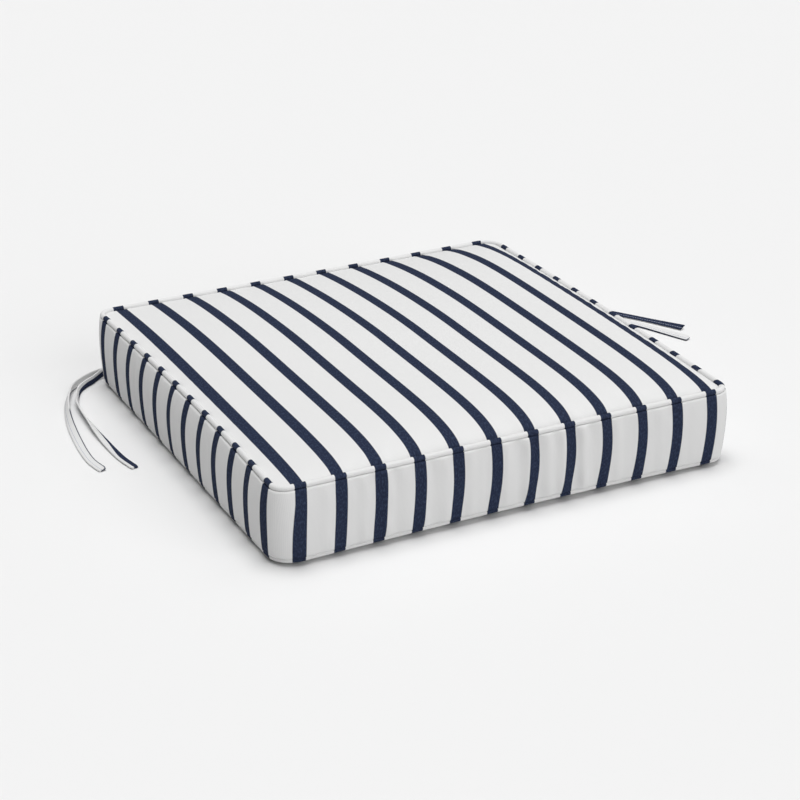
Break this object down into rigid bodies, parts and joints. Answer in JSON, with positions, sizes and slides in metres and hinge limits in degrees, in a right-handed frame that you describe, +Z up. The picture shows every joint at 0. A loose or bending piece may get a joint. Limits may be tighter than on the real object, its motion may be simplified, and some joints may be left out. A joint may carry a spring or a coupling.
{
  "type": "chair cushion",
  "caption": "Square boxed seat cushion in navy and white striped cloth, with piped seams and a pair of ties at each back corner.",
  "frame": {"origin": "on the floor under the middle of the cushion without its ties", "axes": "+Z up, +Y towards the back edge with the ties, +X to the right seen from the front"},
  "size_m": [0.7646, 0.5338, 0.1037],
  "materials": {
    "striped_cloth": "woven, matt, white with navy stripes 42 mm apart",
    "piping_cloth": "woven, matt, white with navy dashes 42 mm apart",
    "tie_cloth": "woven, matt, navy on one face and white on the other"
  },
  "bodies": {
    "root": {"cushion": "striped_cloth", "piping_top": "piping_cloth", "piping_bottom": "piping_cloth", "tie_left_outer": "tie_cloth", "tie_left_inner": "tie_cloth", "tie_right_outer": "tie_cloth", "tie_right_inner": "tie_cloth"}
  },
  "joints": []
}
